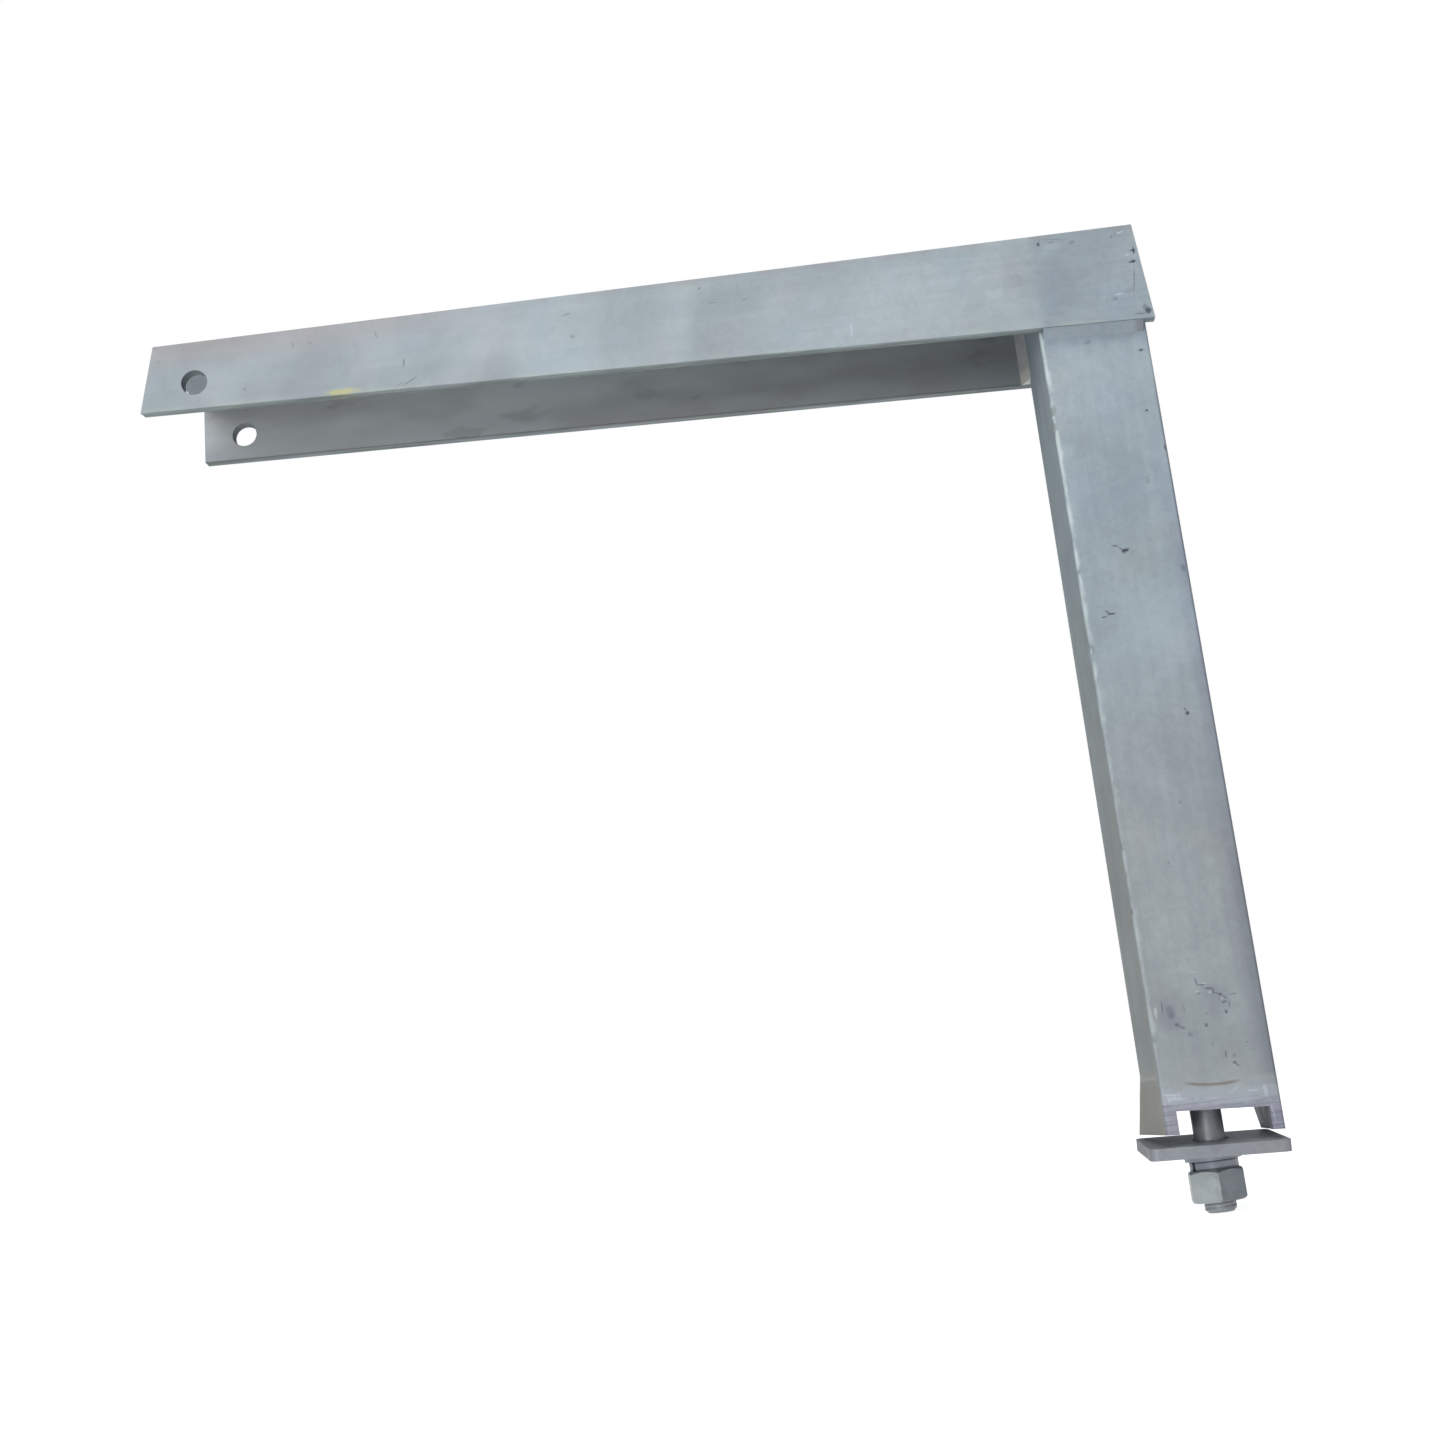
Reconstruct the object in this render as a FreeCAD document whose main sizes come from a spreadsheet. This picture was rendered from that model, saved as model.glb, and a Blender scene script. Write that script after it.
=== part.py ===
import FreeCAD, Part
import math
import os
import Sketcher

# L-shaped pole bracket of two welded channels, with a clamp bolt and its washers at the lower end.
# Axes: X from the arm's tip to the corner, Y away from the viewer, Z up. Lengths in mm.
# The origin is the middle of the bore through the two tip holes.

os.makedirs("parts", exist_ok=True)
doc = FreeCAD.newDocument("pole_bracket")

# Driving sizes
SIZES = [
    ("wall", 5.5, "wall of both channels"),
    ("bend", 1.5, "outer radius of the channels' corners"),
    ("inside", 2.0, "fillet inside the channels' corners"),
    ("arm_width", 76.0, "arm across its two flanges"),
    ("arm_reach", 521.0, "tip hole axis to the corner end of the arm"),
    ("arm_top", 24.5, "tip hole axis to the top of the arm"),
    ("flange_end", 57.0, "height of the arm's flanges at the corner"),
    ("flange_tip", 39.0, "height of the arm's flanges at the tip"),
    ("tip_near", 22.0, "tip hole axis to the near end of the arm's web"),
    ("tip_far", 23.0, "tip hole axis to the far end of the arm's web"),
    ("toe_near", 8.0, "how far the near flange's tip leans out at its toe"),
    ("toe_far", 1.0, "how far the far flange's tip leans out at its toe"),
    ("heel_out", 4.5, "how far the corner end leans out at the toes"),
    ("tip_hole", 14.0, "diameter of the tip holes"),
    ("post_face", 59.0, "face of the post"),
    ("toe_gap", 3.0, "gap between the leg toes and the far flange"),
    ("post_gap", 2.0, "gap between the post's top and the arm's web"),
    ("post_foot", 467.5, "tip hole axis down to the middle of the leg ends"),
    ("foot_skew", 4.0, "slant of the leg ends and of the web's lower edge"),
    ("web_short", 11.5, "how far the web stops short of the leg ends"),
    ("notch_side", 6.3, "width of each leg's front strip beside the notch in the web"),
    ("splay_high", 32.5, "height of the legs' spread part above the leg ends"),
    ("splay_over", 12.5, "how far below the leg ends the full splay would be reached"),
    ("splay", 7.5, "angle that each leg is spread by at the full splay"),
    ("seat_thick", 6.0, "thickness of the seat plate inside the foot"),
    ("seat_up", 36.5, "leg ends up to the underside of the seat plate"),
    ("seat_back", 4.0, "how far the seat plate stays inside the leg toes"),
    ("bolt_size", 16.0, "diameter of the bolt"),
    ("bolt_hole", 17.5, "hole for the bolt in the seat plate"),
    ("bolt_left", 33.0, "corner end of the arm back to the bolt axis"),
    ("bolt_forward", 0.5, "how far the bolt stands forward of the middle of the legs"),
    ("bolt_past", 5.5, "length of the bolt past the nut"),
    ("bolt_point", 1.6, "chamfer at the end of the bolt"),
    ("head_flats", 24.0, "bolt head across its flats"),
    ("head_high", 10.0, "height of the bolt head"),
    ("nut_flats", 27.0, "nut across its flats"),
    ("nut_high", 16.0, "height of the nut"),
    ("nut_turn", 24.6, "turn of the nut about the bolt"),
    ("nut_bevel", 1.6, "depth of the bevel on the nut's corners"),
    ("ring_out", 25.0, "outer diameter of the spring washer"),
    ("ring_in", 16.8, "inner diameter of the spring washer"),
    ("ring_thick", 4.8, "thickness of the spring washer"),
    ("ring_split", 2.2, "width of the split in the spring washer"),
    ("ring_turn", 205.0, "turn of the split about the bolt"),
    ("disc_out", 29.0, "outer diameter of the flat washer"),
    ("disc_in", 17.2, "inner diameter of the flat washer"),
    ("disc_thick", 3.2, "thickness of the flat washer"),
    ("plate_side", 70.0, "side of the square washer"),
    ("plate_thick", 6.0, "thickness of the square washer"),
    ("plate_hole", 18.5, "hole in the square washer"),
    ("plate_round", 4.0, "rounding of the square washer's corners"),
    ("plate_turn", -2.5, "turn of the square washer about the bolt"),
    ("plate_tilt", 4.5, "tilt of the loose square washer"),
    ("plate_gap", 3.2, "gap between the leg ends and the square washer at the bolt"),
    ("plate_lean", 38.0, "direction of the axis that the square washer tilts about"),
    ("bead", 5.0, "leg of the weld beads"),
    ("bead_under", 2.0, "how far the side bead reaches under the leg toe"),
    ("bead_inset", 0.5, "how far the front bead stays inside the post's face"),
]
sheet = doc.addObject("Spreadsheet::Sheet", "Sizes")
size = {}
for row, (alias, value, meaning) in enumerate(SIZES, start=1):
    sheet.set("A%d" % row, meaning)
    sheet.set("B%d" % row, str(value))
    sheet.setAlias("B%d" % row, alias)
    size[alias] = value
doc.recompute()

# Positions worked out from the sizes
DERIVED = [
    ("zero", "0 * wall"),
    ("half_width", "arm_width / 2"),
    ("near_face", "-half_width"),
    ("near_in", "near_face + wall"),
    ("far_in", "half_width - wall"),
    ("near_bend", "near_face + bend"),
    ("far_bend", "half_width - bend"),
    ("arm_long", "arm_reach + tip_far + toe_near + heel_out"),
    ("flange_leg", "flange_end + heel_out - bend"),
    ("tip_x_near", "-tip_near"),
    ("tip_x_far", "-tip_far"),
    ("tip_toe_near", "tip_x_near - toe_near"),
    ("tip_toe_far", "tip_x_far - toe_far"),
    ("bend_z", "arm_top - bend"),
    ("toe_z_tip", "arm_top - flange_tip"),
    ("toe_z_end", "arm_top - flange_end"),
    ("toe_rise", "(flange_end - flange_tip) / (arm_reach + tip_near)"),
    ("blank_start", "-(tip_far + toe_near)"),
    ("blank_end", "arm_reach + heel_out"),
    ("cut_left", "blank_start - 40"),
    ("cut_right", "blank_end + 40"),
    ("cut_low", "toe_z_end - 60"),
    ("cut_high", "arm_top + 20"),
    ("toe_z_left", "toe_z_end + toe_rise * (arm_reach - cut_left)"),
    ("toe_z_right", "toe_z_end + toe_rise * (arm_reach - cut_right)"),
    ("heel_x_low", "arm_reach + heel_out * 1.6"),
    ("heel_z_low", "arm_top - flange_end * 1.6"),
    ("slant_x_near", "tip_toe_near - toe_near"),
    ("slant_z_near", "toe_z_tip - (flange_tip - bend)"),
    ("slant_x_far", "tip_toe_far - toe_far"),
    ("post_left", "arm_reach - post_face"),
    ("post_near", "near_in"),
    ("post_toe", "far_in - toe_gap"),
    ("post_leg", "post_toe - post_near - bend"),
    ("post_top", "arm_top - wall - post_gap"),
    ("post_left_bend", "post_left + bend"),
    ("post_right_bend", "arm_reach - bend"),
    ("splay_z", "splay_high - post_foot"),
    ("splay_low", "-post_foot - splay_over"),
    ("post_high", "post_top - splay_z"),
    ("notch_back", "post_near + wall + inside"),
    ("lean_right", "90 - splay"),
    ("lean_left", "splay - 90"),
    ("foot_slope", "tan(foot_skew * 1 deg)"),
    ("foot_mid", "arm_reach - post_face / 2"),
    ("foot_left", "post_left - 30"),
    ("foot_right", "arm_reach + 30"),
    ("foot_z_left", "-post_foot + foot_slope * (foot_mid - foot_left)"),
    ("foot_z_right", "-post_foot - foot_slope * (foot_right - foot_mid)"),
    ("foot_floor", "splay_low - 40"),
    ("notch_left", "post_left + notch_side"),
    ("notch_right", "arm_reach - notch_side"),
    ("notch_z_left", "-post_foot + web_short + foot_slope * (foot_mid - notch_left)"),
    ("notch_z_right", "-post_foot + web_short - foot_slope * (notch_right - foot_mid)"),
    ("seat_left", "post_left + wall"),
    ("seat_right", "arm_reach - wall"),
    ("seat_front", "post_near + wall"),
    ("seat_rear", "post_toe - seat_back"),
    ("seat_corner", "inside * 1.4"),
    ("seat_in_left", "seat_left + seat_corner"),
    ("seat_in_right", "seat_right - seat_corner"),
    ("seat_side", "seat_front + seat_corner"),
    ("seat_z", "seat_up - post_foot"),
    ("seat_top", "seat_z + seat_thick"),
    ("bolt_x", "arm_reach - bolt_left"),
    ("bolt_y", "(post_near + post_toe) / 2 - bolt_forward"),
    ("head_corners", "head_flats * 2 / sqrt(3)"),
    ("plate_z", "-post_foot - plate_gap - plate_thick"),
    ("disc_top", "plate_z - disc_out / 2 * tan(plate_tilt * 1 deg)"),
    ("disc_z", "disc_top - disc_thick"),
    ("ring_z", "disc_z - ring_thick"),
    ("nut_z", "ring_z - nut_high"),
    ("bolt_long", "seat_top - nut_z + bolt_past"),
    ("nut_corners", "nut_flats * 2 / sqrt(3)"),
    ("nut_corner", "nut_flats / sqrt(3)"),
    ("nut_corner_out", "nut_corner + 4"),
    ("nut_cone", "nut_corner - nut_bevel * 1.7"),
    ("nut_under", "-nut_bevel"),
    ("nut_over", "nut_high + nut_bevel"),
    ("nut_out_low", "nut_bevel * (nut_corner_out - nut_cone) / (nut_corner - nut_cone)"),
    ("nut_out_high", "nut_high - nut_out_low"),
    ("ring_reach", "ring_out"),
    ("split_half", "ring_split / 2"),
    ("split_low", "-split_half"),
    ("plate_half", "plate_side / 2"),
    ("plate_minus", "-plate_half"),
    ("lean_x", "cos(plate_lean * 1 deg)"),
    ("lean_y", "sin(plate_lean * 1 deg)"),
    ("bead_left", "post_left - bead"),
    ("bead_right", "post_left + bead_under"),
    ("bead_front", "post_toe - bead"),
    ("bead_low", "arm_top - flange_end + toe_rise * post_face"),
    ("bead_top", "post_top - bend"),
    ("bead_high", "bead_top - bead_low"),
    ("front_left", "post_left_bend + bead_inset"),
    ("front_right", "post_right_bend - bead_inset"),
    ("front_z_left", "toe_z_end + toe_rise * (arm_reach - front_left)"),
    ("front_z_right", "toe_z_end + toe_rise * (arm_reach - front_right)"),
    ("front_drop_left", "front_z_left - bead"),
    ("front_drop_right", "front_z_right - bead"),
    ("front_out", "near_in - bead * 0.9"),
]
for row, (alias, formula) in enumerate(DERIVED, start=1):
    sheet.set("D%d" % row, "=" + formula)
    sheet.setAlias("D%d" % row, alias)
doc.recompute()
for alias, formula in DERIVED:
    size[alias] = float(sheet.get(alias))

HEX_SIDES = 6
UP = FreeCAD.Vector(0, 0, 1)


def tied(alias):
    return "Sizes." + alias


def new_body(name):
    body = doc.addObject("PartDesign::Body", name)
    body.Label = name
    return body


def new_sketch(body, name, role, height=None):
    sketch = body.newObject("Sketcher::SketchObject", name)
    plane = [f for f in body.Origin.OriginFeatures if f.Role == role][0]
    sketch.AttachmentSupport = [(plane, "")]
    sketch.MapMode = "FlatFace"
    if height is not None:
        sketch.setExpression("AttachmentOffset.Base.z", height)
    return sketch


def tie(sketch, constraint, name, alias):
    index = sketch.addConstraint(constraint)
    sketch.renameConstraint(index, name)
    sketch.setExpression("Constraints." + name, tied(alias))


def place(sketch, geo, end, across, up, name):
    for kind, alias in (("DistanceX", across), ("DistanceY", up)):
        tie(sketch, Sketcher.Constraint(kind, -1, 1, geo, end, size[alias]), name + kind[-1], alias)


# A closed outline of straight sides through corners named by their two sizes.
def outline(sketch, corners):
    points = [FreeCAD.Vector(size[a], size[b], 0) for a, b in corners]
    count = len(points)
    for i in range(count):
        sketch.addGeometry(Part.LineSegment(points[i], points[(i + 1) % count]), False)
    for i in range(count):
        sketch.addConstraint(Sketcher.Constraint("Coincident", i, 2, (i + 1) % count, 1))
    for i, (a, b) in enumerate(corners):
        place(sketch, i, 1, a, b, "corner%d" % i)


def circle(sketch, across, up, diameter):
    centre = FreeCAD.Vector(size[across], size[up], 0)
    geo = sketch.addGeometry(Part.Circle(centre, UP, size[diameter] / 2), False)
    tie(sketch, Sketcher.Constraint("Diameter", geo, size[diameter]), "round%d" % geo, diameter)
    place(sketch, geo, 3, across, up, "centre%d" % geo)


# A regular hexagon about the sketch's origin, sized across its corners.
def hexagon(sketch, corners):
    radius = size[corners] / 2
    step = 2 * math.pi / HEX_SIDES
    points = [FreeCAD.Vector(radius * math.cos(i * step), radius * math.sin(i * step), 0) for i in range(HEX_SIDES)]
    for i in range(HEX_SIDES):
        sketch.addGeometry(Part.LineSegment(points[i], points[(i + 1) % HEX_SIDES]), False)
    guide = sketch.addGeometry(Part.Circle(FreeCAD.Vector(0, 0, 0), UP, radius), True)
    sketch.addConstraint(Sketcher.Constraint("Coincident", guide, 3, -1, 1))
    tie(sketch, Sketcher.Constraint("Diameter", guide, size[corners]), "across", corners)
    for i in range(HEX_SIDES):
        sketch.addConstraint(Sketcher.Constraint("Coincident", i, 2, (i + 1) % HEX_SIDES, 1))
        sketch.addConstraint(Sketcher.Constraint("PointOnObject", i, 1, guide))
    for i in range(HEX_SIDES - 1):
        sketch.addConstraint(Sketcher.Constraint("Equal", i, i + 1))
    sketch.addConstraint(Sketcher.Constraint("PointOnObject", 0, 1, -1))


# A channel's section with round bends: its web lies at one height, and its legs run up or down.
def channel(sketch, first, last, web, run, leg, spread=False):
    wall, bend, inside = size["wall"], size["bend"], size["inside"]
    lean = math.radians(size["splay"]) if spread else 0.0
    level, length = size[web], size[leg]
    hub_left = FreeCAD.Vector(size[first], level + run * bend, 0)
    hub_right = FreeCAD.Vector(size[last], level + run * bend, 0)

    def spot(hub, side, radius, along):
        out = FreeCAD.Vector(side * math.cos(lean), -run * math.sin(lean), 0)
        down = FreeCAD.Vector(side * math.sin(lean), run * math.cos(lean), 0)
        return hub + out * radius + down * along

    def under(hub, radius):
        return hub - FreeCAD.Vector(0, run * radius, 0)

    def fillet_hub(hub, side):
        across = bend - wall - inside
        drop = (across * (math.sin(lean) - 1)) / math.cos(lean)
        return spot(hub, side, across, drop)

    inner = bend - wall
    in_right, in_left = fillet_hub(hub_right, 1), fillet_hub(hub_left, -1)
    path = [
        (under(hub_left, bend), None),
        (under(hub_right, bend), hub_right),
        (spot(hub_right, 1, bend, 0), None),
        (spot(hub_right, 1, bend, length), None),
        (spot(hub_right, 1, inner, length), None),
        (spot(in_right, 1, inside, 0), in_right),
        (under(in_right, inside), None),
        (under(in_left, inside), in_left),
        (spot(in_left, -1, inside, 0), None),
        (spot(hub_left, -1, inner, length), None),
        (spot(hub_left, -1, bend, length), None),
        (spot(hub_left, -1, bend, 0), hub_left),
    ]
    count = len(path)
    ends = []
    for i, (start, hub) in enumerate(path):
        stop = path[(i + 1) % count][0]
        if hub is None:
            sketch.addGeometry(Part.LineSegment(start, stop), False)
            ends.append((1, 2))
            continue
        rim = Part.Circle(hub, UP, (start - hub).Length)
        begin = math.atan2(start.y - hub.y, start.x - hub.x)
        finish = math.atan2(stop.y - hub.y, stop.x - hub.x)
        sweep = (finish - begin) % (2 * math.pi)
        forward = sweep < math.pi
        if not forward:
            begin, sweep = finish, 2 * math.pi - sweep
        sketch.addGeometry(Part.ArcOfCircle(rim, begin, begin + sweep), False)
        ends.append((1, 2) if forward else (2, 1))
    for i in range(count):
        j = (i + 1) % count
        bent = path[i][1] is not None or path[j][1] is not None
        kind = "Tangent" if bent else "Coincident"
        sketch.addConstraint(Sketcher.Constraint(kind, i, ends[i][1], j, ends[j][0]))
    for one, other in ((2, 3), (3, 4), (8, 9), (9, 10)):
        sketch.addConstraint(Sketcher.Constraint("Perpendicular", one, other))
    sketch.addConstraint(Sketcher.Constraint("Horizontal", 0))
    thick = (0, 1, 6, 1) if run > 0 else (6, 1, 0, 1)
    tie(sketch, Sketcher.Constraint("DistanceY", *thick, wall), "web_wall", "wall")
    for geo in (1, 11):
        tie(sketch, Sketcher.Constraint("Radius", geo, bend), "bend%d" % geo, "bend")
    for geo in (5, 7):
        tie(sketch, Sketcher.Constraint("Radius", geo, inside), "inside%d" % geo, "inside")
    for geo in (3, 9):
        tie(sketch, Sketcher.Constraint("Distance", geo, wall), "wall%d" % geo, "wall")
    for geo in (2, 10):
        tie(sketch, Sketcher.Constraint("Distance", geo, length), "leg%d" % geo, leg)
    if spread:
        for geo, alias in ((2, "lean_right"), (10, "lean_left")):
            tie(sketch, Sketcher.Constraint("Angle", geo, math.radians(size[alias])), alias, alias)
    else:
        sketch.addConstraint(Sketcher.Constraint("Vertical", 2))
        sketch.addConstraint(Sketcher.Constraint("Vertical", 10))
    place(sketch, 0, 1, first, web, "web")
    tie(sketch, Sketcher.Constraint("DistanceX", -1, 1, 0, 2, size[last]), "web_end", last)


def pad(body, sketch, length, reverse=False):
    feature = body.newObject("PartDesign::Pad", sketch.Name + "_pad")
    feature.Profile = sketch
    feature.Length = size[length]
    feature.setExpression("Length", tied(length))
    feature.Reversed = reverse
    return feature


# A cut through everything: to both sides of its sketch, or to one.
def cut(body, sketch, both=True, reverse=False):
    feature = body.newObject("PartDesign::Pocket", sketch.Name + "_cut")
    feature.Profile = sketch
    feature.Type = "ThroughAll"
    feature.Midplane = both
    feature.Reversed = reverse
    return feature


def groove(body, sketch):
    feature = body.newObject("PartDesign::Groove", sketch.Name + "_cut")
    feature.Profile = sketch
    feature.ReferenceAxis = (sketch, ["V_Axis"])
    feature.Angle = 360.0
    return feature


def loft(body, first, last):
    feature = body.newObject("PartDesign::AdditiveLoft", first.Name + "_loft")
    feature.Profile = first
    feature.Sections = [last]
    return feature


def move(body, across, back, up):
    for axis, alias in (("x", across), ("y", back), ("z", up)):
        body.setExpression("Placement.Base." + axis, tied(alias))


def turn(body, axis, angle):
    body.Placement = FreeCAD.Placement(FreeCAD.Vector(0, 0, 0), FreeCAD.Rotation(axis, size[angle]))
    body.setExpression("Placement.Rotation.Angle", tied(angle) + " * 1 deg")


# Arm: channel that opens downwards, its flanges tapering towards the tip
arm = new_body("arm_channel")
arm_section = new_sketch(arm, "arm_section", "YZ_Plane", tied("blank_start"))
channel(arm_section, "near_bend", "far_bend", "arm_top", -1, "flange_leg")
pad(arm, arm_section, "arm_long")

toe_line = new_sketch(arm, "toe_line", "XZ_Plane")
outline(toe_line, [
    ("cut_left", "toe_z_left"), ("cut_left", "cut_low"), ("cut_right", "cut_low"), ("cut_right", "toe_z_right"),
])
cut(arm, toe_line)

heel_line = new_sketch(arm, "heel_line", "XZ_Plane")
outline(heel_line, [
    ("arm_reach", "cut_high"), ("arm_reach", "arm_top"), ("heel_x_low", "heel_z_low"),
    ("cut_right", "heel_z_low"), ("cut_right", "cut_high"),
])
cut(arm, heel_line)

near_tip = new_sketch(arm, "near_tip", "XZ_Plane", "-" + tied("near_bend"))
outline(near_tip, [
    ("tip_x_near", "cut_high"), ("tip_x_near", "bend_z"), ("slant_x_near", "slant_z_near"),
    ("cut_left", "slant_z_near"), ("cut_left", "cut_high"),
])
cut(arm, near_tip, both=False, reverse=True)

far_tip = new_sketch(arm, "far_tip", "XZ_Plane", "-" + tied("far_bend"))
outline(far_tip, [
    ("tip_x_far", "cut_high"), ("tip_x_far", "bend_z"), ("slant_x_far", "slant_z_near"),
    ("cut_left", "slant_z_near"), ("cut_left", "cut_high"),
])
cut(arm, far_tip, both=False)

web_tip = new_sketch(arm, "web_tip", "XY_Plane")
outline(web_tip, [
    ("tip_x_near", "near_bend"), ("tip_x_far", "far_bend"), ("cut_left", "far_bend"), ("cut_left", "near_bend"),
])
cut(arm, web_tip)

tip_bore = new_sketch(arm, "tip_bore", "XZ_Plane")
circle(tip_bore, "zero", "zero", "tip_hole")
cut(arm, tip_bore)

# Post: channel that opens to the back, nested between the arm's flanges, with splayed feet
post = new_body("post_channel")
post_section = new_sketch(post, "post_section", "XY_Plane", tied("splay_z"))
channel(post_section, "post_left_bend", "post_right_bend", "post_near", 1, "post_leg")
pad(post, post_section, "post_high")

foot_first = new_sketch(post, "foot_first", "XY_Plane", tied("splay_z"))
channel(foot_first, "post_left_bend", "post_right_bend", "post_near", 1, "post_leg")
foot_last = new_sketch(post, "foot_last", "XY_Plane", tied("splay_low"))
channel(foot_last, "post_left_bend", "post_right_bend", "post_near", 1, "post_leg", spread=True)
loft(post, foot_first, foot_last)

foot_line = new_sketch(post, "foot_line", "XZ_Plane")
outline(foot_line, [
    ("foot_left", "foot_z_left"), ("foot_left", "foot_floor"),
    ("foot_right", "foot_floor"), ("foot_right", "foot_z_right"),
])
cut(post, foot_line)

web_notch = new_sketch(post, "web_notch", "XZ_Plane", "-" + tied("notch_back"))
outline(web_notch, [
    ("notch_left", "notch_z_left"), ("notch_left", "foot_floor"),
    ("notch_right", "foot_floor"), ("notch_right", "notch_z_right"),
])
cut(post, web_notch, both=False, reverse=True)

# Seat plate: set across inside the foot, it carries the bolt's head
seat = new_body("seat_plate")
seat_shape = new_sketch(seat, "seat_shape", "XY_Plane", tied("seat_z"))
outline(seat_shape, [
    ("seat_left", "seat_side"), ("seat_in_left", "seat_front"), ("seat_in_right", "seat_front"),
    ("seat_right", "seat_side"), ("seat_right", "seat_rear"), ("seat_left", "seat_rear"),
])
pad(seat, seat_shape, "seat_thick")
seat_bore = new_sketch(seat, "seat_bore", "XY_Plane")
circle(seat_bore, "bolt_x", "bolt_y", "bolt_hole")
cut(seat, seat_bore)

# Clamp bolt: its head sits on the seat plate, its end is chamfered
bolt = new_body("clamp_bolt")
bolt_head = new_sketch(bolt, "bolt_head", "XY_Plane")
hexagon(bolt_head, "head_corners")
pad(bolt, bolt_head, "head_high")
bolt_shank = new_sketch(bolt, "bolt_shank", "XY_Plane")
circle(bolt_shank, "zero", "zero", "bolt_size")
bolt_blank = pad(bolt, bolt_shank, "bolt_long", reverse=True)
doc.recompute()
low = min(vertex.Z for vertex in bolt_blank.Shape.Vertexes)
rims = [i for i, edge in enumerate(bolt_blank.Shape.Edges, start=1) if abs(edge.BoundBox.ZMax - low) < 0.01]
bolt_point = bolt.newObject("PartDesign::Chamfer", "bolt_point")
bolt_point.Base = (bolt_blank, ["Edge%d" % i for i in rims])
bolt_point.setExpression("Size", tied("bolt_point"))
move(bolt, "bolt_x", "bolt_y", "seat_top")

# Hexagon nut with bevelled corners
nut = new_body("clamp_nut")
nut_shape = new_sketch(nut, "nut_shape", "XY_Plane")
hexagon(nut_shape, "nut_corners")
pad(nut, nut_shape, "nut_high")
nut_bore = new_sketch(nut, "nut_bore", "XY_Plane")
circle(nut_bore, "zero", "zero", "bolt_size")
cut(nut, nut_bore)
nut_bevel_low = new_sketch(nut, "nut_bevel_low", "XZ_Plane")
outline(nut_bevel_low, [("nut_cone", "zero"), ("nut_corner_out", "nut_under"), ("nut_corner_out", "nut_out_low")])
groove(nut, nut_bevel_low)
nut_bevel_high = new_sketch(nut, "nut_bevel_high", "XZ_Plane")
outline(nut_bevel_high, [("nut_cone", "nut_high"), ("nut_corner_out", "nut_out_high"), ("nut_corner_out", "nut_over")])
groove(nut, nut_bevel_high)
turn(nut, UP, "nut_turn")
move(nut, "bolt_x", "bolt_y", "nut_z")

# Spring washer, split at one side
ring = new_body("spring_washer")
ring_shape = new_sketch(ring, "ring_shape", "XY_Plane")
circle(ring_shape, "zero", "zero", "ring_out")
circle(ring_shape, "zero", "zero", "ring_in")
pad(ring, ring_shape, "ring_thick")
ring_gap = new_sketch(ring, "ring_gap", "XY_Plane")
outline(ring_gap, [
    ("zero", "split_low"), ("ring_reach", "split_low"), ("ring_reach", "split_half"), ("zero", "split_half"),
])
cut(ring, ring_gap)
turn(ring, UP, "ring_turn")
move(ring, "bolt_x", "bolt_y", "ring_z")

# Flat round washer
disc = new_body("flat_washer")
disc_shape = new_sketch(disc, "disc_shape", "XY_Plane")
circle(disc_shape, "zero", "zero", "disc_out")
circle(disc_shape, "zero", "zero", "disc_in")
pad(disc, disc_shape, "disc_thick")
move(disc, "bolt_x", "bolt_y", "disc_z")

# Square washer: loose on the bolt, tilted so that its underside rests on the flat washer's rim
plate = new_body("square_washer")
plate_shape = new_sketch(plate, "plate_shape", "XY_Plane")
plate_shape.AttachmentOffset = FreeCAD.Placement(FreeCAD.Vector(0, 0, 0), FreeCAD.Rotation(UP, size["plate_turn"]))
plate_shape.setExpression("AttachmentOffset.Rotation.Angle", tied("plate_turn") + " * 1 deg")
outline(plate_shape, [
    ("plate_minus", "plate_minus"), ("plate_half", "plate_minus"),
    ("plate_half", "plate_half"), ("plate_minus", "plate_half"),
])
pad(plate, plate_shape, "plate_thick")
plate_bore = new_sketch(plate, "plate_bore", "XY_Plane")
circle(plate_bore, "zero", "zero", "plate_hole")
plate_blank = cut(plate, plate_bore)
doc.recompute()
corners = []
for i, edge in enumerate(plate_blank.Shape.Edges, start=1):
    box = edge.BoundBox
    if abs(box.ZLength - size["plate_thick"]) < 0.01 and max(box.XLength, box.YLength) < 0.01:
        if math.hypot(box.Center.x, box.Center.y) > size["plate_half"]:
            corners.append("Edge%d" % i)
plate_round = plate.newObject("PartDesign::Fillet", "plate_round")
plate_round.Base = (plate_blank, corners)
plate_round.setExpression("Radius", tied("plate_round"))
turn(plate, FreeCAD.Vector(size["lean_x"], size["lean_y"], 0), "plate_tilt")
plate.setExpression("Placement.Rotation.Axis.x", tied("lean_x"))
plate.setExpression("Placement.Rotation.Axis.y", tied("lean_y"))
move(plate, "bolt_x", "bolt_y", "plate_z")

# Side weld: bead between the post's left leg and the inside of the far flange
side_weld = new_body("side_weld")
side_bead = new_sketch(side_weld, "side_bead", "XY_Plane", tied("bead_low"))
outline(side_bead, [
    ("bead_left", "far_in"), ("bead_right", "far_in"), ("bead_right", "post_toe"),
    ("post_left", "post_toe"), ("post_left", "bead_front"),
])
pad(side_weld, side_bead, "bead_high")

# Front weld: bead under the near flange's toe, on the face of the post
front_weld = new_body("front_weld")
front_first = new_sketch(front_weld, "front_first", "YZ_Plane", tied("front_left"))
outline(front_first, [("near_in", "front_z_left"), ("front_out", "front_z_left"), ("near_in", "front_drop_left")])
front_last = new_sketch(front_weld, "front_last", "YZ_Plane", tied("front_right"))
outline(front_last, [("near_in", "front_z_right"), ("front_out", "front_z_right"), ("near_in", "front_drop_right")])
loft(front_weld, front_first, front_last)

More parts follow.
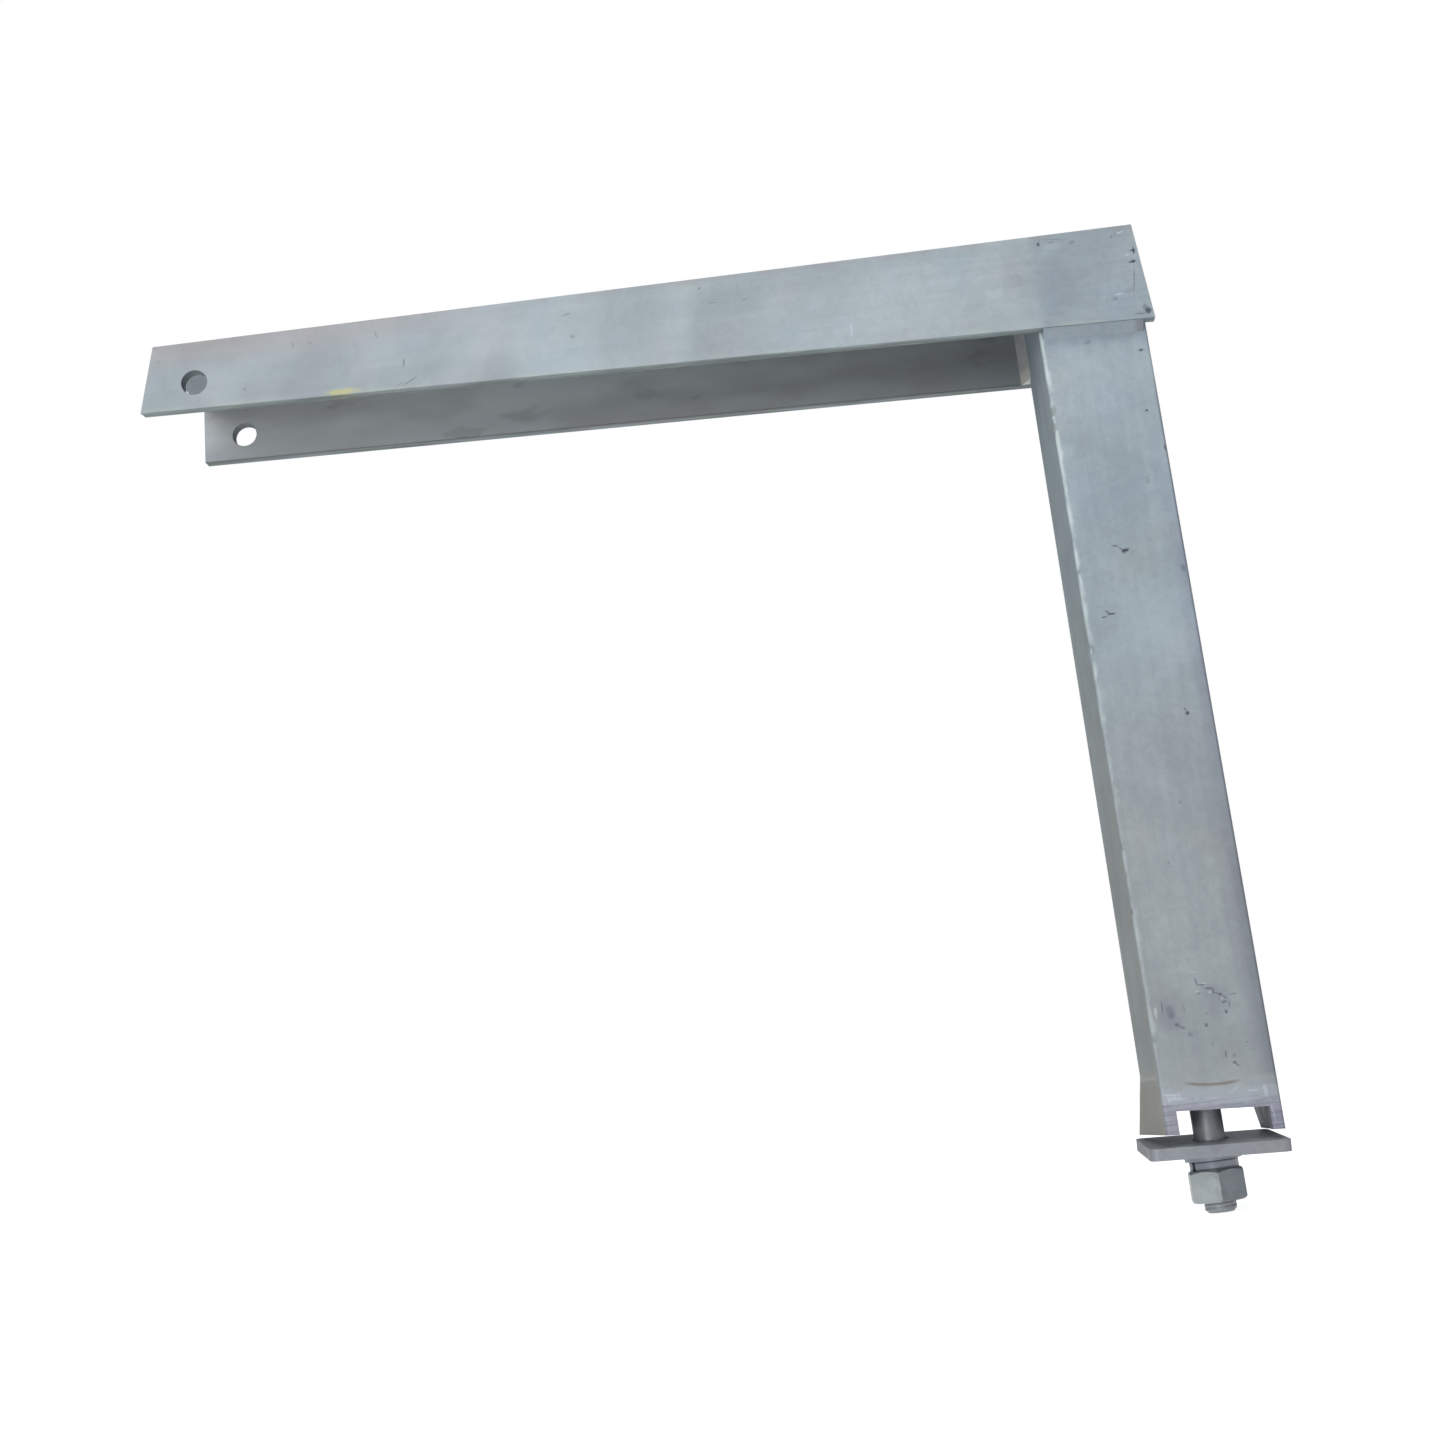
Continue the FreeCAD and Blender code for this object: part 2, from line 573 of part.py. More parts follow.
doc.recompute()
for thing in doc.Objects:
    faults = [state for state in thing.State if state in ("Invalid", "Error")]
    if faults:
        raise RuntimeError("%s did not build: %s" % (thing.Name, faults))
bodies = [arm, post, seat, bolt, nut, ring, disc, plate, side_weld, front_weld]
for body in bodies:
    if body.Shape.isNull() or not body.Shape.isValid() or len(body.Shape.Solids) != 1:
        raise RuntimeError("%s is not one valid solid" % body.Label)
    body.Shape.exportStep("parts/%s.step" % body.Label)
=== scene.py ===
import math

import bmesh
import bpy
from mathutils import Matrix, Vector


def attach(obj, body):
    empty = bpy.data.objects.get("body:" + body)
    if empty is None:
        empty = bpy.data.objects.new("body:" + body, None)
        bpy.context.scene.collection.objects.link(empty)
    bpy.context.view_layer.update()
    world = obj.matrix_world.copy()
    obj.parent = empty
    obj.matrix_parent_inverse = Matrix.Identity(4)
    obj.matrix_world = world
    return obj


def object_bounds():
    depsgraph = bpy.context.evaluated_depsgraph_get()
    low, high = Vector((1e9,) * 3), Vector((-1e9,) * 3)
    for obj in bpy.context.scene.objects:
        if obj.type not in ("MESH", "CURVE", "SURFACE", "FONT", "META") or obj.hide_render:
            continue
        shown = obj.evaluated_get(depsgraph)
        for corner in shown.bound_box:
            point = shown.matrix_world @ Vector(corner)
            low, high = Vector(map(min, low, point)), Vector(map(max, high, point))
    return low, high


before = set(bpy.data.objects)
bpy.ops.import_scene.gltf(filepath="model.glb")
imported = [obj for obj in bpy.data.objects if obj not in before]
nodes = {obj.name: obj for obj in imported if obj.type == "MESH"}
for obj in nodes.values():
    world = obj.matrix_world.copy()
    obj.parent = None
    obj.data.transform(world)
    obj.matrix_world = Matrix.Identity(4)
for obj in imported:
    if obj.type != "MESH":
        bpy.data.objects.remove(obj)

MM = 0.001
CAD_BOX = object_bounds()

# A mix node's inputs for colours are its numbers 0, 6 and 7, and its result is number 2.
MIX_COLOUR_SOCKETS = (0, 6, 7)
MIX_COLOUR_RESULT = 2
# A patch reaches through the whole part across Y. Its rim runs from outside in, in its half sizes.
ANY_DEPTH = 1000.0
RIM_NOISE = 4.0
PATCH_RIM = (1.15, 0.45)


class Nodes:
    """Helpers for one procedural material. Places are metres in the piece's space, the row frame."""

    def __init__(self, name):
        self.material = bpy.data.materials.new(name)
        self.material.use_nodes = True
        self.tree = self.material.node_tree
        self.shader = self.tree.nodes["Principled BSDF"]
        self.place = self.tree.nodes.new("ShaderNodeTexCoord").outputs["Object"]
        self.x, self.y, self.z = self.add("ShaderNodeSeparateXYZ", [self.place]).outputs
        self.rims = {}

    def add(self, kind, inputs=(), **settings):
        node = self.tree.nodes.new(kind)
        for key, value in settings.items():
            setattr(node, key, value)
        for key, value in (inputs.items() if isinstance(inputs, dict) else enumerate(inputs)):
            self.feed(node.inputs[key], value)
        return node

    def feed(self, socket, value):
        if isinstance(value, bpy.types.NodeSocket):
            self.tree.links.new(value, socket)
        else:
            socket.default_value = value

    def math(self, operation, *values):
        return self.add("ShaderNodeMath", values, operation=operation).outputs[0]

    def ramp(self, value, span, first=0.0, last=1.0, soft=True):
        """Runs from first to last as value runs over the span, and stays level beyond it."""
        shape = "SMOOTHSTEP" if soft else "LINEAR"
        inputs = [value, *span, first, last]
        return self.add("ShaderNodeMapRange", inputs, interpolation_type=shape).outputs[0]

    def line(self, value, level, span):
        """A mask for a thin line where value is at level, with the span of its distance from it."""
        away = self.math("ABSOLUTE", self.math("SUBTRACT", value, level))
        return self.ramp(away, span)

    def stretched(self, scale, offset=(0.0, 0.0, 0.0)):
        settings = {"Vector": self.place, "Scale": scale, "Location": offset}
        return self.add("ShaderNodeMapping", settings).outputs[0]

    def moved(self, offset):
        return self.stretched((1.0, 1.0, 1.0), offset)

    def noise(self, scale, detail=3.0, rough=0.5, vector=None, twist=0.0):
        settings = {"Vector": vector or self.place, "Scale": scale, "Detail": detail,
                    "Roughness": rough, "Distortion": twist}
        return self.add("ShaderNodeTexNoise", settings).outputs["Fac"]

    def wobble(self, noise, reach):
        """A length that wanders by half of reach to either side of nothing."""
        return self.math("MULTIPLY", self.math("SUBTRACT", noise, 0.5), reach)

    def blend(self, amount, under, over, kind="MIX"):
        node = self.add("ShaderNodeMix", data_type="RGBA", blend_type=kind)
        factor, first, second = (node.inputs[i] for i in MIX_COLOUR_SOCKETS)
        self.feed(factor, amount)
        self.feed(first, under)
        self.feed(second, over)
        return node.outputs[MIX_COLOUR_RESULT]

    def vary(self, base, amount, low, high):
        """Multiplies base by a factor that runs from low to high with amount."""
        factor = self.blend(amount, (*low, 1.0), (*high, 1.0))
        return self.blend(1.0, base, factor, "MULTIPLY")

    def link(self, socket, value):
        self.tree.links.new(value, self.shader.inputs[socket])

    def patch(self, x, z, wide, high, tear, turn, fine):
        """A soft patch round (x, z) with half sizes (wide, high), torn at its rim by noise."""
        if fine not in self.rims:
            self.rims[fine] = self.math("SUBTRACT", self.noise(fine, 4.0, 0.7), 0.5)
        settings = {"Vector": self.place, "Location": (x, 0.0, z), "Rotation": (0.0, -turn, 0.0),
                    "Scale": (wide, ANY_DEPTH, high)}
        spot = self.add("ShaderNodeMapping", settings, vector_type="TEXTURE").outputs[0]
        reach = self.add("ShaderNodeVectorMath", [spot], operation="LENGTH").outputs["Value"]
        ragged = self.math("MULTIPLY_ADD", self.rims[fine], RIM_NOISE * tear, reach)
        return self.ramp(ragged, PATCH_RIM)


def tone(r, g, b):
    """A colour as a screen shows it, 0 to 255, made linear."""
    def linear(v):
        v /= 255.0
        return v / 12.92 if v <= 0.04045 else ((v + 0.055) / 1.055) ** 2.4
    return (linear(r), linear(g), linear(b), 1.0)


def only(n, mask, *wheres):
    """A mask kept only where all the others hold."""
    for where in wheres:
        mask = n.math("MULTIPLY", mask, where)
    return mask


def stain(n, mask, colour, amount, kind="MIX"):
    n.base = n.blend(n.math("MULTIPLY", mask, amount), n.base, colour, kind)


def tint(n, mask, factor, amount=1.0):
    """Multiplies red, green and blue by a factor under a mask."""
    stain(n, mask, (*factor, 1.0), amount, "MULTIPLY")


def marks(n, where, rows, colour, tear, fine):
    """Marks on the faces towards -Y, one for each row, with the noise that tears their rims: scuffs,
    and painted highlights for the glint rows.
    """
    for x, z, wide, high, turn, amount in rows:
        stain(n, only(n, n.patch(x, z, wide, high, tear, turn, fine), where), colour, amount)


# Zinc. Noise scales are in features to the metre, and WIDE is most of a noise's range.
WIDE = (0.3, 0.7)
CLOUDS, WARMTH, FLOWERS, DRAWN, PITS = 16.0, 28.0, 170.0, 220.0, 900.0
WARM_PART, COOL_PART = (0.50, 0.78), (0.46, 0.22)
WARM_MOST, COOL_MOST = 0.55, 0.5
WARM_FACTOR = (1.07, 1.0, 0.955, 1.0)
COOL_FACTOR = (0.95, 1.005, 1.05, 1.0)
CLOUD_FACTORS = ((0.90, 0.90, 0.905), (1.07, 1.07, 1.07))
FLOWER_FACTORS = ((0.93, 0.93, 0.935), (1.06, 1.06, 1.055))
LINE_FACTORS = ((0.965, 0.965, 0.97), (1.02, 1.02, 1.02))
FLOWER_ROUGH, CLOUD_ROUGH = 0.07, 0.05
FLOWER_HEIGHT, PIT_HEIGHT, LINE_HEIGHT = 0.55, 0.18, 0.2


def zinc(name, colour, rough=0.64, metal=0.15, seed=0.0, along=(1.0, 1.0, 1.0)):
    """Dull hot-dipped zinc: broad clouds, small flowers, faint drawn lines and tiny pits."""
    n = Nodes(name)
    shift = n.moved((seed, seed * 0.7, -seed))
    clouds = n.noise(CLOUDS, 3.0, 0.55, shift, 0.6)
    warm = n.noise(WARMTH, 2.0, 0.5, n.moved((3.0 + seed, 1.0, 2.0)), 0.3)
    flowers = n.noise(FLOWERS, 4.0, 0.62, shift, 0.8)
    drawn = n.noise(DRAWN, 2.0, 0.6, n.stretched(along, (seed, 0.0, 0.0)))
    pits = n.noise(PITS, 2.0, 0.5, shift)
    base = n.vary(colour, n.ramp(clouds, WIDE), *CLOUD_FACTORS)
    warmer = n.blend(1.0, base, WARM_FACTOR, "MULTIPLY")
    base = n.blend(n.ramp(warm, WARM_PART, 0.0, WARM_MOST), base, warmer)
    cooler = n.blend(1.0, base, COOL_FACTOR, "MULTIPLY")
    base = n.blend(n.ramp(warm, COOL_PART, 0.0, COOL_MOST), base, cooler)
    base = n.vary(base, n.ramp(flowers, WIDE), *FLOWER_FACTORS)
    n.base = n.vary(base, n.ramp(drawn, (0.35, 0.65)), *LINE_FACTORS)
    n.rough = n.math("ADD", n.ramp(flowers, WIDE, rough - FLOWER_ROUGH, rough + FLOWER_ROUGH),
                     n.ramp(clouds, WIDE, CLOUD_ROUGH, -CLOUD_ROUGH))
    lines = n.math("MULTIPLY", drawn, LINE_HEIGHT)
    grain = n.math("ADD", n.math("MULTIPLY", pits, PIT_HEIGHT), lines)
    n.height = n.math("ADD", n.math("MULTIPLY", flowers, FLOWER_HEIGHT), grain)
    n.shader.inputs["Metallic"].default_value = metal
    return n


def close(n, strength=0.22, distance=0.35 * MM):
    """Joins a zinc material's colour, roughness and height to its shader."""
    n.link("Base Color", n.base)
    n.link("Roughness", n.rough)
    bump = n.add("ShaderNodeBump", {"Strength": strength, "Distance": distance, "Height": n.height})
    n.link("Normal", bump.outputs[0])
    return n.material


# Marks: each row is x, z, half width, half height, turn and amount.
DARK = tone(58, 62, 74)
SHADE = tone(92, 96, 112)

ARM_SCUFFS = (
    (0.5196, 0.0083, 0.0020, 0.0006, 0.0, 0.9), (0.5199, 0.0083, 0.0007, 0.0024, 0.0, 0.95),
    (0.5183, 0.0016, 0.0027, 0.0007, 0.1, 0.9), (0.5187, 0.0018, 0.0008, 0.0013, 0.0, 0.85),
    (0.5176, -0.0090, 0.0004, 0.0096, -0.16, 0.45), (0.5224, -0.0284, 0.0021, 0.0018, 0.4, 0.85),
    (0.5210, -0.0262, 0.0018, 0.0022, 0.2, 0.45), (0.5180, -0.0296, 0.0046, 0.0004, -0.05, 0.55),
    (0.4684, 0.0187, 0.0009, 0.0013, 0.2, 0.85), (0.4692, 0.0200, 0.0003, 0.0022, 0.0, 0.4),
    (0.4765, 0.0206, 0.0072, 0.0003, -0.13, 0.35), (0.4757, 0.0190, 0.0018, 0.0004, 0.0, 0.4),
    (0.4869, 0.0175, 0.0020, 0.0012, 0.3, 0.3), (0.5116, 0.0190, 0.0011, 0.0008, 0.3, 0.8),
    (0.5094, 0.0180, 0.0011, 0.0006, 0.5, 0.5), (0.5056, -0.0190, 0.0016, 0.0014, 0.3, 0.3),
    (0.5010, -0.0196, 0.0004, 0.0026, 0.0, 0.2), (0.5140, -0.0150, 0.0034, 0.0018, 0.2, 0.12),
    (0.1177, -0.0150, 0.0052, 0.0005, 0.5, 0.45), (0.1110, -0.0168, 0.0046, 0.0004, 0.5, 0.35),
    (0.1008, 0.0146, 0.0006, 0.0026, 0.2, 0.35), (0.1150, -0.0040, 0.0007, 0.0030, -0.1, 0.4),
    (0.2060, 0.0125, 0.0030, 0.0005, 0.2, 0.45), (0.2080, -0.0010, 0.0017, 0.0016, 0.4, 0.3),
    (0.2800, 0.0180, 0.0010, 0.0008, 0.1, 0.4), (0.2860, 0.0085, 0.0034, 0.0003, 0.0, 0.35),
    (0.3010, 0.0160, 0.0003, 0.0040, 0.0, 0.25), (0.3040, 0.0080, 0.0014, 0.0006, 0.0, 0.3),
    (0.0550, 0.0146, 0.0005, 0.0022, 0.2, 0.35), (0.0645, 0.0148, 0.0016, 0.0010, 0.0, 0.2),
    (0.0275, -0.0078, 0.0012, 0.0012, 0.0, 0.3), (-0.0191, 0.0148, 0.0005, 0.0012, 0.4, 0.3),
)
# Painted highlights: glints on the arm's near face, in rows like the marks above.
ARM_PAINTED_GLINTS = (
    (0.5135, 0.0196, 0.0044, 0.0004, 0.35, 0.6), (0.5080, -0.0166, 0.0030, 0.0006, 0.1, 0.5),
    (0.5160, 0.0060, 0.0016, 0.0006, 0.2, 0.4), (0.4760, 0.0165, 0.0060, 0.0022, 0.0, 0.12),
    (0.4900, 0.0050, 0.0120, 0.0050, 0.2, 0.05), (0.3600, -0.0180, 0.0008, 0.0060, 0.0, 0.3),
)
POST_SCUFFS = (
    (0.4893, -0.1609, 0.0024, 0.0012, 0.25, 0.95), (0.4882, -0.1606, 0.0016, 0.0005, -0.4, 0.7),
    (0.4843, -0.1577, 0.0021, 0.0005, -0.15, 0.75), (0.4866, -0.1592, 0.0016, 0.0004, -0.7, 0.5),
    (0.4885, -0.1622, 0.0006, 0.0011, 0.0, 0.5), (0.4930, -0.1622, 0.0020, 0.0003, 0.4, 0.3),
    (0.4764, -0.1949, 0.0023, 0.0006, 0.05, 0.85), (0.4724, -0.1961, 0.0016, 0.0005, 0.1, 0.75),
    (0.4742, -0.1934, 0.0006, 0.0010, 0.5, 0.7), (0.4752, -0.1941, 0.0013, 0.0004, -0.6, 0.6),
    (0.5075, -0.2535, 0.0013, 0.0012, 0.0, 0.85), (0.5064, -0.2512, 0.0006, 0.0013, 0.2, 0.5),
    (0.5158, -0.0483, 0.0021, 0.0005, 0.0, 0.85), (0.5158, -0.0483, 0.0006, 0.0013, 0.0, 0.8),
    (0.5133, -0.0836, 0.0013, 0.0005, 0.0, 0.8), (0.5133, -0.0836, 0.0005, 0.0010, 0.0, 0.8),
    (0.4878, -0.0398, 0.0026, 0.0012, 0.2, 0.3), (0.5074, -0.1232, 0.0016, 0.0026, 0.1, 0.2),
    (0.5196, -0.1061, 0.0006, 0.0020, 0.1, 0.7), (0.5183, -0.1748, 0.0016, 0.0024, 0.1, 0.35),
    (0.4960, -0.3000, 0.0009, 0.0009, 0.0, 0.35), (0.4850, -0.3300, 0.0008, 0.0008, 0.0, 0.3),
)
FOOT_CRACKS = (
    (0.4886, -0.3922, 0.0005, 0.0022, 0.05, 0.75), (0.4908, -0.3940, 0.0024, 0.0005, -0.10, 0.80),
    (0.4945, -0.3962, 0.0024, 0.0006, -0.15, 0.90), (0.4963, -0.3978, 0.0006, 0.0016, 0.20, 0.85),
    (0.4980, -0.3990, 0.0018, 0.0005, -0.30, 0.60), (0.4998, -0.3999, 0.0012, 0.0011, -0.20, 0.90),
    (0.4990, -0.4022, 0.0006, 0.0012, 0.10, 0.50), (0.5018, -0.4016, 0.0014, 0.0005, -0.70, 0.70),
    (0.5010, -0.4039, 0.0018, 0.0008, 0.10, 0.70), (0.5034, -0.4052, 0.0006, 0.0022, -0.10, 0.60),
    (0.5012, -0.4088, 0.0009, 0.0012, 0.30, 0.85), (0.4892, -0.3982, 0.0012, 0.0007, 0.00, 0.45),
    (0.5062, -0.4004, 0.0020, 0.0006, 0.00, 0.45), (0.4695, -0.4026, 0.0005, 0.0034, 0.00, 0.65),
    (0.4731, -0.4040, 0.0022, 0.0022, -0.30, 0.40), (0.4735, -0.4072, 0.0022, 0.0024, -0.40, 0.60),
    (0.4757, -0.4122, 0.0016, 0.0011, -0.50, 0.85), (0.4780, -0.4139, 0.0020, 0.0008, -0.50, 0.65),
    (0.4815, -0.4178, 0.0018, 0.0012, -0.40, 0.40), (0.4804, -0.4046, 0.0005, 0.0026, 0.05, 0.35),
    (0.4902, -0.4142, 0.0013, 0.0012, 0.40, 0.75), (0.4914, -0.4084, 0.0010, 0.0006, 0.30, 0.35),
    (0.4976, -0.4296, 0.0005, 0.0022, -0.05, 0.80), (0.5015, -0.4308, 0.0014, 0.0014, 0.20, 0.35),
    (0.5014, -0.4343, 0.0014, 0.0010, -0.30, 0.75), (0.5026, -0.4358, 0.0012, 0.0006, -0.60, 0.60),
    (0.5089, -0.4249, 0.0016, 0.0004, 0.10, 0.45), (0.4918, -0.4236, 0.0010, 0.0014, 0.00, 0.25),
    (0.4773, -0.4493, 0.0007, 0.0011, 0.10, 0.55), (0.4819, -0.4497, 0.0007, 0.0010, 0.10, 0.45),
)
# Painted highlights along the foot's left edge and on its face.
FOOT_PAINTED_GLINTS = (
    (0.4925, -0.3934, 0.0018, 0.0003, -0.15, 0.60), (0.4948, -0.3981, 0.0012, 0.0008, 0.20, 0.45),
    (0.4885, -0.3968, 0.0014, 0.0006, -0.20, 0.35), (0.4880, -0.3870, 0.0022, 0.0004, -0.10, 0.35),
    (0.4998, -0.4020, 0.0010, 0.0008, 0.00, 0.35), (0.4660, -0.4050, 0.0010, 0.0036, 0.00, 0.55),
)
FOOT_FROST = (
    (0.4672, -0.4462, 0.0034, 0.0008, -0.1, 0.7), (0.4660, -0.4482, 0.0026, 0.0016, 0.1, 0.6),
    (0.4700, -0.4484, 0.0040, 0.0008, -0.1, 0.6), (0.4712, -0.4462, 0.0010, 0.0012, 0.0, 0.5),
    (0.4998, -0.4470, 0.0040, 0.0010, 0.5, 0.3), (0.5080, -0.4490, 0.0030, 0.0006, -0.1, 0.5),
    (0.5140, -0.4500, 0.0010, 0.0030, 0.1, 0.5), (0.4860, -0.4500, 0.0060, 0.0005, -0.1, 0.3),
    (0.5160, -0.4600, 0.0007, 0.0060, 0.1, 0.4), (0.5060, -0.4530, 0.0060, 0.0004, -0.1, 0.3),
)

# The arm. Spans are metres along an axis, from where a mask is nothing to where it is full.
ARM_FACE_Y = (-0.0340, -0.0365)
TOE_UNDER_Y = (-0.0374, -0.0366)
FAR_INSIDE_Y = (0.0240, 0.0300)
FAR_OUTSIDE_Y = (0.0350, 0.0338)
# The flanges' toes rise towards the tip: z + x times this slope is level along them.
TOE_SLOPE = 0.0331
TOE_SPAN, TOE_LIP_SPAN = (-0.0146, -0.0151), (-0.0120, -0.0150)
HOLE_WALL_RADII = (0.00735, 0.00710)


def arm_material():
    """Zinc with drawn lines along the arm, the flanges' stains and painted light and shade, and smears
    inside.
    """
    n = zinc("zinc_arm", tone(157, 168, 175), seed=0.0, along=(0.06, 1.0, 1.0))
    front = n.ramp(n.y, ARM_FACE_Y)
    inner = only(n, n.ramp(n.y, FAR_INSIDE_Y), n.ramp(n.y, FAR_OUTSIDE_Y))
    level = n.math("ADD", n.z, n.math("MULTIPLY", n.x, TOE_SLOPE))
    toe = n.ramp(level, TOE_SPAN)
    near_flange(n, front, level, toe)
    far_flange(n, inner, toe)
    hole_walls(n)
    smear = n.noise(26.0, 3.0, 0.6, n.stretched((0.35, 1.0, 1.0)))
    stain(n, only(n, n.ramp(smear, (0.42, 0.66)), inner), tone(128, 116, 112), 0.30)
    spots = n.noise(75.0, 2.0, 0.5, n.stretched((0.5, 1.0, 1.0), (1.0, 0.0, 4.0)))
    stain(n, only(n, n.ramp(spots, (0.62, 0.72)), inner), tone(88, 84, 88), 0.22)
    return close(n)


def near_flange(n, front, level, toe):
    """The near flange's face: warmer towards the tip, painted darker there as shade, with scuffs,
    painted highlights and a toe painted darker underneath as shade.
    """
    tip_painted_shade, tip_warm, knee_x = (0.24, 0.02), (0.21, 0.06), (0.4600, 0.4680)
    upper_z, top_edge_z = (0.004, 0.020), (0.0175, 0.0250)
    # Painted shade: the near face darkens towards the tip.
    tint(n, only(n, front, n.ramp(n.x, tip_painted_shade)), (0.93, 0.92, 0.92))
    ragged = n.ramp(n.noise(60.0), (0.35, 0.6))
    stain(n, only(n, n.ramp(n.z, top_edge_z), front, ragged), tone(150, 146, 148), 0.45)
    warm_end = only(n, n.ramp(n.x, tip_warm), n.ramp(n.z, upper_z), front)
    stain(n, warm_end, tone(158, 152, 154), 0.5)
    tint(n, only(n, n.ramp(n.x, knee_x), front), (0.86, 0.875, 0.90))
    marks(n, front, ARM_SCUFFS, DARK, 0.3, 900.0)
    marks(n, front, ARM_PAINTED_GLINTS, tone(196, 212, 222), 0.4, 500.0)
    yellow = n.patch(0.0800, -0.0165, 0.0100, 0.0022, 0.5, 0.0, 180.0)
    face_and_end = (-0.0325, -0.0335)
    stain(n, only(n, yellow, n.ramp(n.y, face_and_end)), tone(188, 184, 124), 0.7)
    # The toe's underside is painted darker as shade, with darker streaks along it, and drips lighten
    # the face above it.
    streaks = n.noise(70.0, 3.0, 0.6, n.stretched((0.25, 4.0, 1.0), (9.0, 0.0, 0.0)))
    below = only(n, toe, n.ramp(n.y, TOE_UNDER_Y))
    tint(n, below, (0.84, 0.86, 0.84))
    stain(n, only(n, below, n.ramp(streaks, (0.40, 0.60))), tone(96, 108, 104), 0.7)
    drip = n.noise(24.0, 2.0, 0.5, n.stretched((1.0, 1.0, 0.1), (5.0, 0.0, 0.0)))
    lip = only(n, front, n.ramp(level, TOE_LIP_SPAN))
    stain(n, only(n, lip, n.ramp(drip, (0.45, 0.6))), tone(176, 188, 180), 0.35)


def far_flange(n, inner, toe):
    """The far flange's inner face: lifted by painted light, then painted darker as shade towards the
    knee, the tip and the toe, with painted shade along the toe.
    """
    to_knee, to_tip, tip_end, to_toe = (0.10, 0.44), (0.06, -0.02), (0.012, -0.016), (0.000, -0.014)
    stain(n, inner, tone(208, 212, 212), 0.9)
    tint(n, only(n, inner, n.ramp(n.x, to_knee, soft=False)), (0.63, 0.64, 0.65))
    tint(n, only(n, inner, n.ramp(n.x, to_tip)), (0.80, 0.81, 0.82))
    tint(n, only(n, inner, n.ramp(n.z, to_toe)), (0.80, 0.81, 0.83))
    tint(n, only(n, inner, n.ramp(n.x, tip_end)), (0.84, 0.85, 0.88))
    stain(n, only(n, toe, inner), tone(78, 84, 82), 0.7)


def hole_walls(n):
    """The walls of the tip's two holes, round the origin's Y axis, are painted dark as shade."""
    across = n.stretched((1.0, 0.0, 1.0))
    radius = n.add("ShaderNodeVectorMath", [across], operation="LENGTH").outputs["Value"]
    stain(n, n.ramp(radius, HOLE_WALL_RADII), tone(74, 80, 84), 0.7)


# The post's face towards -Y, its left leg beside it, and the bend between them.
POST_FACE_Y = (-0.0295, -0.0315)
POST_SIDE_X, POST_SIDE_Y = (0.4670, 0.4640), (-0.0305, -0.0260)
BEND_X, BEND_Y = (0.4650, 0.4630), (-0.0300, -0.0315)
LEG_X, LEG_Y = (0.4635, 0.4622), (-0.0318, -0.0300)
# The web's end at the foot: its middle, how far it drops across X, and how much its arc bows.
FOOT_X, ARC_X = 0.488, 0.4885
FOOT_DROP, ARC_BOW = 0.070, 7.0
ARC_Z, CREASE_Z = -0.4435, -0.4366
# Lines along the bend and across the foot wander over this many metres.
WANDER = 0.006


def post_material():
    """Zinc with drawn lines along the post, warmer low down, and a cracked, cropped foot."""
    n = zinc("zinc_post", tone(153, 166, 175), seed=1.7, along=(1.0, 1.0, 0.06))
    front = n.ramp(n.y, POST_FACE_Y)
    side = only(n, n.ramp(n.x, POST_SIDE_X), n.ramp(n.y, POST_SIDE_Y))
    warm_z, under_arm_shade_z = (-0.15, -0.36), (-0.046, -0.038)
    tint(n, n.ramp(n.z, warm_z), (0.965, 0.895, 0.85))
    # Painted shade on the face just under the arm.
    tint(n, only(n, n.ramp(n.z, under_arm_shade_z), front), (0.86, 0.88, 0.90), 0.8)
    painted_bend_highlight(n)
    # Painted shade on the left leg's face towards -X, lifted by painted light low down.
    leg = only(n, n.ramp(n.x, LEG_X), n.ramp(n.y, LEG_Y))
    tint(n, leg, (0.95, 0.96, 0.94))
    tint(n, only(n, leg, n.ramp(n.z, (-0.08, -0.22))), (1.10, 1.06, 1.02))
    right_shade(n)
    marks(n, front, POST_SCUFFS, DARK, 0.3, 900.0)
    marks(n, front, FOOT_CRACKS, SHADE, 0.35, 800.0)
    # Painted highlights on the foot.
    marks(n, front, FOOT_PAINTED_GLINTS, tone(196, 202, 204), 0.3, 800.0)
    haze = n.patch(0.4960, -0.4010, 0.0090, 0.0090, 0.5, 0.0, 160.0)
    stain(n, only(n, haze, front), SHADE, 0.16)
    haze = n.patch(0.4725, -0.4080, 0.0065, 0.0095, 0.5, 0.3, 160.0)
    stain(n, only(n, haze, front), tone(112, 112, 138), 0.22)
    foot_end(n, front)
    left_foot(n, side)
    return close(n)


def painted_bend_highlight(n):
    """A painted highlight along the bend beside the face, where zinc stands thick, broken by darker
    gaps.
    """
    wavy = n.wobble(n.noise(120.0, 4.0, 0.6, n.stretched((0.2, 0.2, 1.0))), WANDER)
    edge = only(n, n.ramp(n.math("ADD", n.x, wavy), BEND_X), n.ramp(n.y, BEND_Y))
    broken = n.ramp(n.noise(110.0, 4.0, 0.6, n.stretched((1.0, 1.0, 0.35))), (0.36, 0.6))
    fading = n.ramp(n.z, (-0.40, -0.06), 0.40, 1.0)
    stain(n, only(n, edge, only(n, broken, fading)), tone(206, 218, 220), 0.68)
    gaps = n.noise(150.0, 3.0, 0.6, n.stretched((1.0, 1.0, 0.5), (2.0, 0.0, 0.0)))
    stain(n, only(n, edge, n.ramp(gaps, (0.56, 0.66))), tone(110, 122, 124), 0.65)


